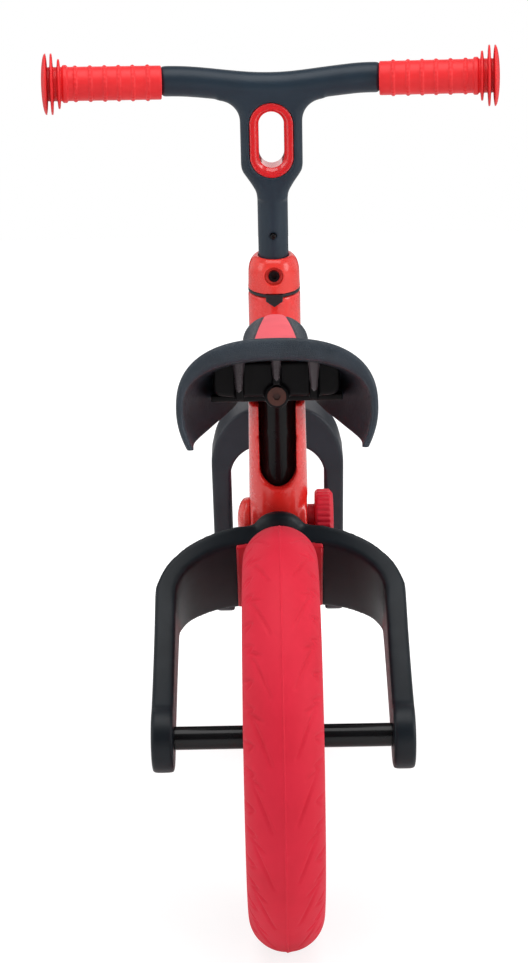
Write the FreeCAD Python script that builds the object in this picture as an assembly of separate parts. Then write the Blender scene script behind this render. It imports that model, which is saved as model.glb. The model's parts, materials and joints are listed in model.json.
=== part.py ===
import FreeCAD, Part
import math
import os

# Balance bike for a small child. Millimetres, +Z up, +Y towards the front wheel, +X to the rider's right.
# The origin is on the ground, midway between the two axles.

Vec = FreeCAD.Vector

# ---- wheels ----
wheel_radius = 152.0
tyre_width = 55.0
tyre_depth = 40.0            # crown of the tyre down to its bore
wheelbase = 545.0
rim_width = 40.0
rim_wall = 8.0
spoke_count = 6
spoke_width = 24.0
spoke_thickness = 13.0
hub_radius = 20.0
hub_width = 46.0
bearing_radius = 13.0
bearing_width = 9.0
axle_radius = 5.0
axle_spacer_radius = 8.4
axle_bolt_head_radius = 11.0
axle_bolt_head_height = 5.0

# ---- steering, measured along the steering axis from the foot of the front axle ----
head_lean = 17.0             # steering axis from the vertical, degrees
fork_offset = 23.6           # front axle ahead of the steering axis
crown_gap = 21.2             # tyre to the underside of the front crown
crown_depth = 38.0
crown_neck_rise = 7.6
front_fork_half_width = 61.0
front_leg_thickness = 17.4
front_leg_depth = 40.0
front_lobe_radius = 19.0
head_tube_length = 100.0
head_tube_radius = 23.5
head_tube_wall = 4.0
bushing_height = 12.0
steerer_radius = 15.2
ring_thickness = 2.7
ring_tab_width = 15.0
ring_tab_drop = 8.5
ring_tab_thickness = 1.6
collar_height = 30.0
collar_lip = 4.0
collar_top_radius = 16.5
collar_bottom_radius = 23.5
collar_recess_radius = 8.25
collar_screw_height = 16.0   # screw above the collar's bottom edge
collar_screw_radius = 3.0

# ---- handlebar ----
bar_rise = 159.0             # top of the collar to the middle of the grips
bar_half_width = 93.0        # moulded part of the bar, each side
bar_radius = 13.0
bar_dip = 8.0                # the bar's middle lies this much lower than its ends
bar_sweep = 5.0              # grips turned back, degrees
column_width = 54.0
column_length = 75.0         # grips' level down to where the shoulders start
column_fillet = 19.0
column_edge_radius = 8.0
shoulder_length = 31.0
stem_radius = 13.5
stem_wall = 2.0
ring_insert_width = 38.0
ring_insert_length = 66.5
ring_insert_centre = 52.2    # below the grips' level
ring_hole_width = 22.0
ring_hole_length = 50.0
grip_length = 102.5
grip_radius = 14.5
grip_ridge_radius = 15.6
grip_bore_radius = 10.7
disc_radius = 25.8
button_drop = 138.0          # snap button below the grips' level
button_radius = 2.5
button_out = 2.4             # how far the button stands out of the stem

# ---- rear end, measured from the rear axle ----
stay_angle = 40.0            # rear fork above the horizontal, degrees
rear_fork_half_width = 94.0
rear_leg_thickness = 16.0
rear_lobe_radius = 24.5
guard_clearance = 3.6        # tyre to the wheel guard
guard_wall = 3.6
guard_half_width = 33.0
rear_crown_depth = 15.0
rear_crown_back = 33.0       # rear fork's middle line to the back edge of its crown
rear_crown_front = 51.0      # and to the front edge
crown_chamfer = 12.0         # along the crown's front edge, which clears the frame when the fork swings
crown_to_pivot = 27.0        # top of the rear crown to the pivot bolt
pivot_lift = 6.2             # pivot bolt off the rear fork's middle line
pivot_bolt_radius = 5.0
tongue_half_width = 12.0
tongue_radius = 15.0
lug_half_width = 22.0
lug_radius = 21.5
knob_radius = 22.5
knob_width = 14.0
knob_stand_off = 6.0
knob_ridges = 32
cap_radius = 17.0
cap_height = 10.0

# ---- frame and saddle ----
seat_tube_lean = 20.0
seat_tube_top_radius = 21.5
seat_tube_bottom_radius = 23.0
seat_tube_rise = 106.0       # pivot bolt up to the top of the seat tube, along it
seat_slot_length = 69.0
seat_post_radius = 13.7
seat_post_bottom = 26.0      # above the pivot bolt, along the seat tube
beam_width = 40.0
beam_height = 50.0
saddle_reach = 252.0         # tail of the saddle to its nose
saddle_tail = -4.0           # tail of the saddle ahead of the rear axle
saddle_half_width = 71.0
saddle_stations = 14
saddle_wall = 3.5
saddle_top_thickness = 13.0
carrier_bottom = 386.7       # above the ground
carrier_half_width = 48.0
carrier_plate = 5.0
rib_width = 6.0
saddle_bolt_radius = 3.0
saddle_bolt_head_radius = 6.8

# ---- clearances ----
run = 0.05                   # radial, for what turns or slides in a bore
seat = 0.3                   # between pieces that only lie close together
fit = 0.1                    # radial, for what is pushed in and stays
roof_gap = 0.8               # saddle's roof to the carrier's ribs

# ---- worked out ----
crown_inside = wheel_radius + crown_gap
crown_top = crown_inside + crown_depth
neck_top = crown_top + crown_neck_rise
head_bottom = neck_top + seat
head_top = head_bottom + head_tube_length
collar_bottom = head_top + ring_thickness + seat
collar_top = collar_bottom + collar_height
bar_level = collar_top + bar_rise
steerer_top = collar_top - collar_lip
steerer_bore = stem_radius + run
stop_level = crown_top - 2.0
tyre_bore = wheel_radius - tyre_depth
rim_radius = tyre_bore - fit
guard_inside = wheel_radius + guard_clearance
rear_crown_inside = guard_inside + guard_wall
rear_crown_top = rear_crown_inside + rear_crown_depth
pivot_reach = rear_crown_top + crown_to_pivot
rear_inner_corner = (rear_fork_half_width - rear_leg_thickness - 16.0, 40.0)
lean = math.radians(head_lean)
rear_axle = Vec(0, -wheelbase / 2, wheel_radius)
front_axle = Vec(0, wheelbase / 2, wheel_radius)
steer_foot = front_axle - Vec(0, math.cos(lean), math.sin(lean)) * fork_offset
stay = math.radians(stay_angle)
pivot = rear_axle + Vec(0, math.cos(stay), math.sin(stay)) * pivot_reach
pivot = pivot + Vec(0, -math.sin(stay), math.cos(stay)) * pivot_lift
across = Vec(1, 0, 0)


def rod(radius, start, end):
    """A round bar between two points."""
    along = end - start
    return Part.makeCylinder(radius, along.Length, start, along)


def cone(start_radius, end_radius, start, end):
    """A tapered round bar between two points."""
    along = end - start
    return Part.makeCone(start_radius, end_radius, along.Length, start, along)


def tube(outer, inner, start, end):
    """A round tube between two points."""
    return rod(outer, start, end).cut(rod(inner, start, end))


def block(low, high):
    """A box between two corners."""
    size = high - low
    return Part.makeBox(size.x, size.y, size.z, low)


def flat_face(edges):
    """A flat face inside a closed chain of edges."""
    return Part.Face(Part.Wire(Part.__sortEdges__(edges)))


def polygon(points):
    """A flat face inside a closed row of points."""
    return Part.Face(Part.makePolygon(points + points[:1]))


def spline(points):
    """A smooth edge through a row of points."""
    curve = Part.BSplineCurve()
    curve.interpolate(points)
    return curve.toShape()


def stadium(width, length, centre, depth):
    """A bar with round ends, length along Z, lying through Y from centre.y by depth."""
    radius = width / 2
    reach = Vec(0, 0, length / 2 - radius)
    through = Vec(0, depth, 0)
    middle = block(centre - Vec(radius, 0, reach.z), centre + Vec(radius, depth, reach.z))
    ends = [rod(radius, centre + side, centre + side + through) for side in (reach, -reach)]
    return middle.fuse(ends).removeSplitter()


def placed(shape, origin, turn):
    """Turn a shape about X by some degrees and carry its own origin to a point."""
    moved = shape.copy()
    moved.Placement = FreeCAD.Placement(origin, FreeCAD.Rotation(across, turn)) * shape.Placement
    return moved


def on_steering(shape):
    """Carry a shape from the steering axis's own frame to the bike."""
    return placed(shape, steer_foot, head_lean)


def on_stay(shape):
    """Carry a shape from the rear fork's own frame, Y towards the pivot, to the bike."""
    return placed(shape, rear_axle, stay_angle)


def on_seat_tube(shape):
    """Carry a shape from the seat tube's own frame, Z up the tube from the pivot, to the bike."""
    return placed(shape, pivot, seat_tube_lean)


def on_grip(shape, side):
    """Carry a grip, made along +X from the end of the bar, to its end of the handlebar."""
    end = Vec(side * bar_half_width, bar_path(1.0).y, bar_level)
    turn = FreeCAD.Rotation(Vec(0, 0, 1), -bar_sweep if side > 0 else 180 + bar_sweep)
    moved = shape.copy()
    moved.Placement = FreeCAD.Placement(end, turn) * shape.Placement
    return on_steering(moved)


def turned(face, axis):
    """A solid swept by a flat face all the way round an axis through the frame's own zero."""
    solid = face.revolve(Vec(0, 0, 0), axis, 360)
    if solid.Volume < 0:
        solid.reverse()
    return solid


def save(name, shapes):
    """Write one sub-part, a solid or a group of solids."""
    group = shapes if isinstance(shapes, list) else [shapes]
    solids = [solid for shape in group for solid in shape.Solids]
    whole = solids[0] if len(solids) == 1 else Part.makeCompound(solids)
    whole.exportStep("parts/" + name + ".step")


# ---- wheels -------------------------------------------------------------------------------

def tyre(centre):
    """Solid foam tyre, turned about the axle: round crown, full sidewalls and a flat bore."""
    half = tyre_width / 2
    edge = rim_width / 2 + 2.0
    shoulder = wheel_radius - 9.5
    row = [(edge, tyre_bore), (half - 1.1, tyre_bore + 8.0), (half, tyre_bore + 18.5)]
    row = row + [(half - 3.5, shoulder), (half - 13.5, wheel_radius - 2.4), (0.0, wheel_radius)]
    right = [Vec(x, 0, r) for x, r in row]
    left = [Vec(-x, 0, r) for x, r in row[-2::-1]]
    crown = spline(right + left)
    bore = Part.makeLine(left[-1], right[0])
    ring = turned(flat_face([crown, bore]), across)
    ring.translate(centre)
    return ring


def rim(centre):
    """Moulded wheel: a rim band, spokes, and a hub bored for a bearing at each end."""
    half = rim_width / 2
    hub = rod(hub_radius, Vec(-hub_width / 2, 0, 0), Vec(hub_width / 2, 0, 0))
    band = tube(rim_radius, rim_radius - rim_wall, Vec(-half, 0, 0), Vec(half, 0, 0))
    spoke = spoke_arm(rim_radius - rim_wall / 2)
    arms = []
    for number in range(spoke_count):
        arm = spoke.copy()
        arm.rotate(Vec(0, 0, 0), across, 360.0 * number / spoke_count)
        arms.append(arm)
    wheel = band.fuse([hub] + arms).removeSplitter()
    pocket = hub_width / 2 - bearing_width
    for side in (-1, 1):
        mouth = Vec(side * hub_width / 2, 0, 0)
        wheel = wheel.cut(rod(bearing_radius + fit, Vec(side * pocket, 0, 0), mouth))
    wheel = wheel.cut(rod(axle_radius + 2.0, Vec(-hub_width, 0, 0), Vec(hub_width, 0, 0)))
    wheel.translate(centre)
    return wheel


def spoke_arm(reach):
    """One spoke, wide at the hub, waisted, and wide again where it meets the rim."""
    waist = spoke_width * 0.36
    foot = hub_radius - 4.0
    middle = (foot + reach) / 2
    right = spline([Vec(0, spoke_width / 2, foot), Vec(0, waist, middle), Vec(0, spoke_width / 2, reach)])
    left = spline([Vec(0, -spoke_width / 2, foot), Vec(0, -waist, middle), Vec(0, -spoke_width / 2, reach)])
    low = Part.makeLine(Vec(0, -spoke_width / 2, foot), Vec(0, spoke_width / 2, foot))
    high = Part.makeLine(Vec(0, -spoke_width / 2, reach), Vec(0, spoke_width / 2, reach))
    arm = flat_face([right, left, low, high]).extrude(across * spoke_thickness)
    arm.translate(across * (-spoke_thickness / 2))
    edges = [edge for edge in arm.Edges if abs(edge.BoundBox.XLength) < 0.01 and edge.BoundBox.ZLength > 9]
    return arm.makeFillet(3.0, edges)


def bearings(centre):
    """The two bearings of a wheel, one in each end of its hub, as closed rings."""
    inner = hub_width / 2 - bearing_width
    rings = []
    for side in (-1, 1):
        start = centre + across * (side * (inner + 0.2))
        end = centre + across * (side * hub_width / 2)
        rings.append(tube(bearing_radius, axle_radius + run, start, end))
    return rings


def axle(centre, half_width):
    """The steel axle, flush with the floors of the bolt recesses, threaded at both ends."""
    half = half_width - axle_bolt_head_height - 1.5
    thread = axle_radius * 0.5
    shaft = rod(axle_radius, centre - across * half, centre + across * half)
    for side in (-1, 1):
        end = centre + across * (side * half)
        shaft = shaft.cut(rod(thread + fit, end, end - across * (side * 22.0)))
    return shaft


def axle_spacers(centre, inside):
    """Glossy sleeves that keep the hub's bearings in the middle between the legs."""
    start = hub_width / 2 + seat
    sleeves = []
    for side in (-1, 1):
        low = centre + across * (side * start)
        high = centre + across * (side * (inside - fit))
        sleeves.append(tube(axle_spacer_radius, axle_radius + fit, low, high))
    return sleeves


def axle_bolts(centre, half_width):
    """Button-headed socket bolts in the recesses of the fork lobes, one at each end."""
    seat_level = half_width - axle_bolt_head_height - 1.5 + fit
    bolts = []
    for side in (-1, 1):
        out = across * side
        foot = centre + out * seat_level
        crown = foot + out * axle_bolt_head_height
        head = cone(axle_bolt_head_radius, axle_bolt_head_radius * 0.7, foot, crown)
        shank = rod(axle_radius * 0.5, foot - out * 20.0, foot)
        bolt = head.fuse(shank).cut(hex_socket(foot + out * axle_bolt_head_height, -out, 2.9, 3.0))
        bolts.append(bolt)
    return bolts


def hex_socket(mouth, inward, half_flat, depth):
    """The cutting body of a hexagon socket."""
    corner = half_flat / math.cos(math.radians(30))
    turned = FreeCAD.Rotation(Vec(0, 0, 1), inward)
    points = []
    for number in range(6):
        angle = math.radians(60 * number)
        points.append(mouth + turned.multVec(Vec(corner * math.cos(angle), corner * math.sin(angle), 0)))
    return polygon(points).extrude(inward * depth)


# ---- front fork and steering --------------------------------------------------------------

def arch(half_width, thickness, crown_low, crown_high, outer_corner, inner_corner, legs_end):
    """A U lying in the XZ plane: straight legs and a crown whose corners are quarter ellipses."""
    outside = arch_outline(half_width, crown_high, outer_corner, legs_end)
    inside = arch_outline(half_width - thickness, crown_low, inner_corner, legs_end - 5.0)
    return outside.cut(inside)


def arch_outline(half_width, top, corner, legs_end):
    """The area under an arch with elliptic corners, corner wide and high."""
    centre = Vec(half_width - corner[0], 0, top - corner[1])
    edges = []
    for side in (-1, 1):
        hub = Vec(side * centre.x, 0, centre.z)
        round_edge = [hub + Vec(side * corner[0] * math.sin(a), 0, corner[1] * math.cos(a))
                      for a in [math.radians(11.25 * step) for step in range(9)]]
        edges.append(smooth_corner(round_edge, side))
        edges.append(Part.makeLine(round_edge[-1], Vec(side * half_width, 0, legs_end)))
    edges.append(Part.makeLine(Vec(-centre.x, 0, top), Vec(centre.x, 0, top)))
    edges.append(Part.makeLine(Vec(-half_width, 0, legs_end), Vec(half_width, 0, legs_end)))
    return flat_face(edges)


def smooth_corner(points, side):
    """A spline that leaves a level crown and ends on an upright leg."""
    curve = Part.BSplineCurve()
    curve.interpolate(Points=points, InitialTangent=Vec(side, 0, 0), FinalTangent=Vec(0, 0, -1))
    return curve.toShape()


def belt(first, first_radius, second, second_radius, width):
    """Two discs across X and the flat sides that touch them both, as in a machine link."""
    gap = second - first
    turn = math.atan2(gap.z, gap.y)
    tilt = math.acos((first_radius - second_radius) / gap.Length)
    points = []
    for centre, radius, side in ((first, first_radius, 1), (second, second_radius, 1),
                                 (second, second_radius, -1), (first, first_radius, -1)):
        angle = turn + side * tilt
        points.append(centre + Vec(0, radius * math.cos(angle), radius * math.sin(angle)))
    body = polygon(points).extrude(across * width)
    discs = [rod(first_radius, first, first + across * width)]
    discs.append(rod(second_radius, second, second + across * width))
    return body.fuse(discs).removeSplitter()


def front_fork():
    """Moulded fork: a wide arch over the wheel, legs that run forward to the axle, and a neck."""
    half = front_fork_half_width
    plan = arch(half, front_leg_thickness, crown_inside, crown_top, (46.0, 60.0), (31.6, 32.0), -30.0)
    plan.translate(Vec(0, -60, 0))
    curtain = plan.extrude(Vec(0, 120, 0))
    knee = Vec(-half - 1, 0, crown_inside - 22.0)
    foot = Vec(-half - 1, fork_offset, 0)
    side = belt(knee, front_leg_depth / 2, foot, front_lobe_radius, 2 * half + 2)
    crown_low = Vec(-half - 1, -front_leg_depth / 2, knee.z)
    crown_high = Vec(half + 1, front_leg_depth / 2, crown_top + 1)
    side = side.fuse(block(crown_low, crown_high)).removeSplitter()
    fork = curtain.common(side)
    neck = cone(20.0, 17.5, Vec(0, 0, crown_top - 12.0), Vec(0, 0, neck_top))
    fork = fork.fuse(neck).removeSplitter()
    fork = fork.cut(rod(steerer_radius + fit, Vec(0, 0, crown_inside - 5), Vec(0, 0, neck_top + 5)))
    fork = fork.cut(axle_holes(Vec(0, fork_offset, 0), half))
    return on_steering(fork)


def axle_holes(centre, half_width):
    """Cutting bodies for the axle and for the bolt heads' recesses in a pair of fork lobes."""
    recess = half_width - axle_bolt_head_height - 1.5
    bodies = [rod(axle_radius + fit, centre - across * half_width, centre + across * half_width)]
    for side in (-1, 1):
        start = centre + across * (side * recess)
        bodies.append(rod(axle_bolt_head_radius + 0.5, start, centre + across * (side * (half_width + 1))))
    return bodies


def steerer_tube():
    """Steel tube pressed into the front crown; its plug is the floor the stem comes down on."""
    bottom = crown_inside + 2.0
    sleeve = tube(steerer_radius, steerer_bore, Vec(0, 0, stop_level), Vec(0, 0, steerer_top))
    plug = rod(steerer_radius, Vec(0, 0, bottom), Vec(0, 0, stop_level))
    screw_level = collar_bottom + collar_screw_height
    hole = rod(collar_screw_radius + fit, Vec(0, -steerer_radius - 5, screw_level), Vec(0, 0, screw_level))
    return on_steering(plug.fuse(sleeve).removeSplitter().cut(hole))


def head_tube():
    """Painted tube that the steerer turns in."""
    bore = head_tube_radius - head_tube_wall
    sleeve = tube(head_tube_radius, bore, Vec(0, 0, head_bottom), Vec(0, 0, head_top))
    rims = [edge for edge in sleeve.Edges
            if edge.Closed and abs(edge.Curve.Radius - head_tube_radius) < 0.01]
    return on_steering(sleeve.makeFillet(1.2, rims))


def headset_bushing(bottom):
    """Plastic bushing between the head tube and the steerer."""
    outer = head_tube_radius - head_tube_wall - fit
    top = Vec(0, 0, bottom + bushing_height)
    return on_steering(tube(outer, steerer_radius + run, Vec(0, 0, bottom), top))


def headset_ring():
    """Thin ring on top of the head tube with a pointed tab that hangs down behind it."""
    top = Vec(0, 0, head_top + ring_thickness)
    ring = tube(head_tube_radius - 0.2, steerer_radius + seat, Vec(0, 0, head_top), top)
    back = -head_tube_radius - 0.2
    half = ring_tab_width / 2
    top = head_top + ring_thickness
    low = head_top - ring_tab_drop
    face = back - ring_tab_thickness
    corners = [(-half, top), (half, top), (half, low + 5.5), (0, low), (-half, low + 5.5)]
    tab = polygon([Vec(x, face, z) for x, z in corners]).extrude(Vec(0, ring_tab_thickness, 0))
    bridge = block(Vec(-half, back - 0.1, head_top), Vec(half, -head_tube_radius + 4.0, top))
    return on_steering(ring.fuse([tab, bridge]).removeSplitter())


def handlebar_collar():
    """Domed clamp on top of the steerer, with a deep round recess for its screw at the back."""
    low = Vec(collar_bottom_radius, 0, collar_bottom)
    waist = Vec(collar_bottom_radius - 0.6, 0, collar_bottom + collar_height * 0.45)
    shoulder = Vec(collar_bottom_radius - 3.2, 0, collar_top - 4.5)
    high = Vec(collar_top_radius, 0, collar_top)
    dome = spline([low, waist, shoulder, high])
    edges = [dome, Part.makeLine(Vec(0, 0, collar_bottom), low), Part.makeLine(high, Vec(0, 0, collar_top))]
    edges.append(Part.makeLine(Vec(0, 0, collar_bottom), Vec(0, 0, collar_top)))
    body = turned(flat_face(edges), Vec(0, 0, 1))
    body = body.cut(rod(steerer_radius + fit, Vec(0, 0, collar_bottom - 1), Vec(0, 0, steerer_top + fit)))
    body = body.cut(rod(stem_radius + seat, Vec(0, 0, collar_bottom), Vec(0, 0, collar_top + 1)))
    level = collar_bottom + collar_screw_height
    floor = -steerer_radius - 2.5
    body = body.cut(rod(collar_recess_radius, Vec(0, floor, level), Vec(0, -collar_bottom_radius - 5, level)))
    body = body.cut(rod(collar_screw_radius + fit, Vec(0, 0, level), Vec(0, floor - 1, level)))
    return on_steering(body)


def collar_screw():
    """Socket screw that clamps the collar and the steerer on the stem."""
    level = collar_bottom + collar_screw_height
    floor = -steerer_radius - 2.5 - fit
    head_top_y = floor - 3.4
    head = rod(5.0, Vec(0, floor, level), Vec(0, head_top_y, level))
    shank = rod(collar_screw_radius, Vec(0, floor, level), Vec(0, -stem_radius - seat, level))
    screw = head.fuse(shank).removeSplitter()
    return on_steering(screw.cut(hex_socket(Vec(0, head_top_y, level), Vec(0, 1, 0), 2.5, 2.4)))


# ---- handlebar ----------------------------------------------------------------------------

def bar_path(share):
    """The bar's middle line, share 0 at the centre to 1 at the grip, in the steering frame."""
    dip = bar_dip * (1 + math.cos(math.pi * share)) / 2
    back = math.tan(math.radians(bar_sweep)) * bar_half_width / 2 * share * share
    return Vec(bar_half_width * share, -back, bar_level - dip)


def bar_tube():
    """The round crossbar, bent back and down in the middle, with a spigot for each grip."""
    right = [bar_path(step / 4) for step in range(5)]
    left = [Vec(-point.x, point.y, point.z) for point in right[:0:-1]]
    slope = math.radians(bar_sweep)
    curve = Part.BSplineCurve()
    curve.interpolate(Points=left + right, InitialTangent=Vec(math.cos(slope), math.sin(slope), 0),
                      FinalTangent=Vec(math.cos(slope), -math.sin(slope), 0))
    start = left[0]
    ring = Part.Wire(Part.Circle(start, Vec(math.cos(slope), math.sin(slope), 0), bar_radius).toShape())
    bar = Part.Wire(curve.toShape()).makePipeShell([ring], True, True)
    spigots = []
    for side in (-1, 1):
        foot = Vec(side * bar_half_width, right[-1].y, bar_level)
        along = Vec(side * math.cos(slope), -math.sin(slope), 0)
        spigots.append(rod(grip_bore_radius - fit, foot - along * 3, foot + along * (grip_length - 8.0)))
    return bar.fuse(spigots)


def column():
    """The moulded column under the bar: wide, with round fillets above and sloping shoulders below."""
    half = column_width / 2
    under = bar_level - bar_dip - bar_radius + 3.5
    start = bar_level - column_length
    end = start - shoulder_length
    edges = []
    for side in (-1, 1):
        corner = Vec(side * half, 0, under - column_fillet)
        wing = Vec(side * (half + column_fillet), 0, under)
        sag = column_fillet * (1 - math.sqrt(0.5))
        middle = Vec(side * (half + sag), 0, under - sag)
        edges.append(Part.Arc(corner, middle, wing).toShape())
        edges.append(Part.makeLine(wing, wing + Vec(0, 0, 8)))
        edges.append(Part.makeLine(corner, Vec(side * half, 0, start)))
        edges.append(shoulder_edge(side, half, start, end))
    top = under + 8
    reach = half + column_fillet
    edges.append(Part.makeLine(Vec(-reach, 0, top), Vec(reach, 0, top)))
    edges.append(Part.makeLine(Vec(-stem_radius, 0, end), Vec(stem_radius, 0, end)))
    plate = flat_face(edges)
    plate.translate(Vec(0, -bar_radius, 0))
    body = plate.extrude(Vec(0, 2 * bar_radius, 0))
    outline = [edge for edge in body.Edges if abs(edge.BoundBox.YLength) < 0.01
               and edge.BoundBox.ZMax < top - 1 and edge.BoundBox.ZLength > 1]
    return body.makeFillet(column_edge_radius, outline)


def shoulder_edge(side, half, start, end):
    """An S from the column's side in to the stem."""
    span = start - end
    points = [Vec(side * half, 0, start), Vec(side * (half - 4.6), 0, start - 0.36 * span)]
    points.append(Vec(side * (stem_radius + 2.6), 0, start - 0.68 * span))
    points.append(Vec(side * stem_radius, 0, end))
    curve = Part.BSplineCurve()
    curve.interpolate(Points=points, InitialTangent=Vec(0, 0, -1), FinalTangent=Vec(0, 0, -1))
    return curve.toShape()


def t_bar():
    """Moulded T-bar: crossbar, column with a long round-ended opening, and a socket for the stem."""
    end = bar_level - column_length - shoulder_length
    neck = rod(stem_radius, Vec(0, 0, end - 2.0), Vec(0, 0, end + 16.0))
    body = bar_tube().fuse([column(), neck]).removeSplitter()
    centre = Vec(0, -bar_radius - 2, bar_level - ring_insert_centre)
    depth = 2 * bar_radius + 4
    body = body.cut(stadium(ring_insert_width + 2 * fit, ring_insert_length + 2 * fit, centre, depth))
    body = body.cut(rod(stem_radius - stem_wall - 1.0 + fit, Vec(0, 0, end - 3), Vec(0, 0, end + 9.0)))
    return on_steering(body)


def t_bar_ring():
    """Glossy insert that lines the opening in the T-bar, bevelled towards its hole."""
    half_depth = bar_radius - 1.0
    centre = Vec(0, -half_depth, bar_level - ring_insert_centre)
    body = stadium(ring_insert_width, ring_insert_length, centre, 2 * half_depth)
    hole = stadium(ring_hole_width, ring_hole_length, centre - Vec(0, 1, 0), 2 * half_depth + 2)
    body = body.cut(hole)
    reach = ring_hole_width / 2 + 0.1
    boxes = [(edge, edge.BoundBox) for edge in body.Edges]
    inner = [edge for edge, box in boxes if box.YLength < 0.01 and box.XMax < reach and box.XMin > -reach]
    return on_steering(body.makeChamfer(3.0, inner))


def stem_tube():
    """Steel stem: a spigot in the T-bar above, a long tube that slides in the steerer below."""
    top = bar_level - column_length - shoulder_length - 2.0 - fit
    bottom = stop_level + seat
    bore = stem_radius - stem_wall
    body = rod(stem_radius, Vec(0, 0, bottom), Vec(0, 0, top))
    spigot = rod(bore - 1.0, Vec(0, 0, top), Vec(0, 0, top + 10.5))
    body = body.fuse(spigot).removeSplitter()
    body = body.cut(rod(bore, Vec(0, 0, bottom - 1), Vec(0, 0, top - 3.0)))
    level = bar_level - button_drop
    hole = rod(button_radius + run, Vec(0, 0, level), Vec(0, -stem_radius - 1, level))
    return on_steering(body.cut(hole))


def stem_button():
    """Spring button that stands out of the back of the stem."""
    level = bar_level - button_drop
    bore = stem_radius - stem_wall
    flange_back = -bore + 1.2
    flange = rod(button_radius + 1.6, Vec(0, flange_back, level), Vec(0, flange_back + 1.2, level))
    pin = rod(button_radius, Vec(0, flange_back, level), Vec(0, -stem_radius - button_out, level))
    nose = [edge for edge in pin.Edges if edge.Closed and edge.BoundBox.YMax < -stem_radius]
    return on_steering(pin.makeFillet(1.2, nose).fuse(flange).removeSplitter())


def stem_button_spring():
    """Coil behind the button, from its flange to the front wall of the stem."""
    level = bar_level - button_drop
    start = -(stem_radius - stem_wall) + 2.4 + seat + 0.4
    end = stem_radius - stem_wall - 0.7 - seat
    wire_radius = 0.35
    turns = 7
    helix = Part.makeHelix((end - start) / turns, end - start, 2.6)
    profile = Part.Wire(Part.Circle(Vec(2.6, 0, 0), Vec(0, 1, 0), wire_radius).toShape())
    coil = Part.Wire(helix).makePipeShell([profile], True, True)
    coil.rotate(Vec(0, 0, 0), across, -90)
    coil.translate(Vec(0, start, level))
    return on_steering(coil)


def grip(side):
    """Rubber grip: ring ridges along it, then a small collar and two hand-guard discs at the end."""
    tail = grip_length
    row = [(0.0, grip_radius)]
    for middle in (11.7, 24.4, 36.4, 48.3, 60.6, 73.3):
        row = row + [(middle - 2.2, grip_radius), (middle - 0.9, grip_ridge_radius)]
        row = row + [(middle + 0.9, grip_ridge_radius), (middle + 2.2, grip_radius)]
    row = row + [(79.0, grip_radius), (80.5, grip_ridge_radius + 0.6), (83.0, grip_ridge_radius + 0.8)]
    row = row + [(84.0, 19.6), (85.4, 20.8), (87.0, 20.4), (88.4, 17.8)]
    row = row + [(89.2, 23.0), (90.8, disc_radius), (92.6, disc_radius - 0.6), (93.8, 22.4)]
    row = row + [(94.6, 22.6), (95.8, disc_radius - 0.3), (97.4, disc_radius - 0.6), (99.4, 22.2)]
    row = row + [(101.2, 15.0), (tail, 6.0), (tail, 0.0)]
    face = polygon([Vec(x, 0, r) for x, r in row] + [Vec(0, 0, 0)])
    body = turned(face, across)
    body = body.cut(rod(grip_bore_radius, Vec(-1, 0, 0), Vec(grip_length - 7.5, 0, 0)))
    return on_grip(body, side)


# ---- rear fork ----------------------------------------------------------------------------

def rear_fork_side():
    """The rear fork seen from the side, filled: slim legs that spread into a deep crown."""
    top = rear_crown_top + 1
    middle = rear_crown_inside * 0.34
    knee = rear_crown_inside * 0.73
    brow = Vec(0, top - crown_chamfer, -rear_crown_front)
    brow_top = Vec(0, top, crown_chamfer * 0.8 - rear_crown_front)
    heel = Vec(0, top, rear_crown_back)
    front = spline([Vec(0, 8, -22), Vec(0, middle, -27), Vec(0, knee, -38), brow])
    back = spline([Vec(0, 12, 21), Vec(0, middle, 16.5), Vec(0, knee * 0.93, 17.5), heel])
    low = Part.makeLine(Vec(0, 8, -22), Vec(0, 12, 21))
    chamfer = Part.makeLine(brow, brow_top)
    high = Part.makeLine(brow_top, heel)
    width = 2 * rear_fork_half_width + 2
    body = flat_face([front, back, low, chamfer, high]).extrude(across * width)
    lobe = rod(rear_lobe_radius, Vec(0, 0, 0), across * width)
    body = body.fuse(lobe).removeSplitter()
    body.translate(across * (-width / 2))
    return body


def rear_fork():
    """Moulded fork: a U around the wheel, a humped neck, and a tongue that takes the pivot bolt."""
    half = rear_fork_half_width
    outer_corner = (half - 14.0, 56.0)
    plan = arch(half, rear_leg_thickness, rear_crown_inside, rear_crown_top,
                outer_corner, rear_inner_corner, -40.0)
    curtain = plan.extrude(Vec(0, 140, 0))
    curtain.rotate(Vec(0, 0, 0), across, -90)
    curtain.translate(Vec(0, 0, 70))
    fork = curtain.common(rear_fork_side())
    neck = cone(20.0, 14.0, Vec(0, rear_crown_top - 6, -4), Vec(0, rear_crown_top + 2.0, -2))
    pin = Vec(0, pivot_reach, pivot_lift)
    width = 2 * tongue_half_width
    root = Vec(-tongue_half_width, rear_crown_top + 1.0, 0)
    tongue = belt(root, tongue_radius, pin - across * tongue_half_width, tongue_radius, width)
    fork = fork.fuse([neck, tongue]).removeSplitter()
    fork = fork.cut(rod(pivot_bolt_radius + run, pin - across * 30, pin + across * 30))
    return on_stay(fork.cut(axle_holes(Vec(0, 0, 0), half)))


def wheel_guard():
    """Liner that follows the underside of the rear crown, from its back edge to its front edge."""
    half = rear_fork_half_width - rear_leg_thickness
    upper = arch_outline(half, rear_crown_inside, rear_inner_corner, -40.0)
    lower = arch_outline(half, guard_inside, rear_inner_corner, -45.0)
    plan = upper.cut(lower).extrude(Vec(0, 90, 0))
    plan.rotate(Vec(0, 0, 0), across, -90)
    plan.translate(Vec(0, 0, 45))
    middle = block(Vec(-guard_half_width, guard_inside - 20, 3 - rear_crown_front),
                   Vec(guard_half_width, rear_crown_inside + 1, rear_crown_back - 6))
    return on_stay(plan.common(middle))


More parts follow.
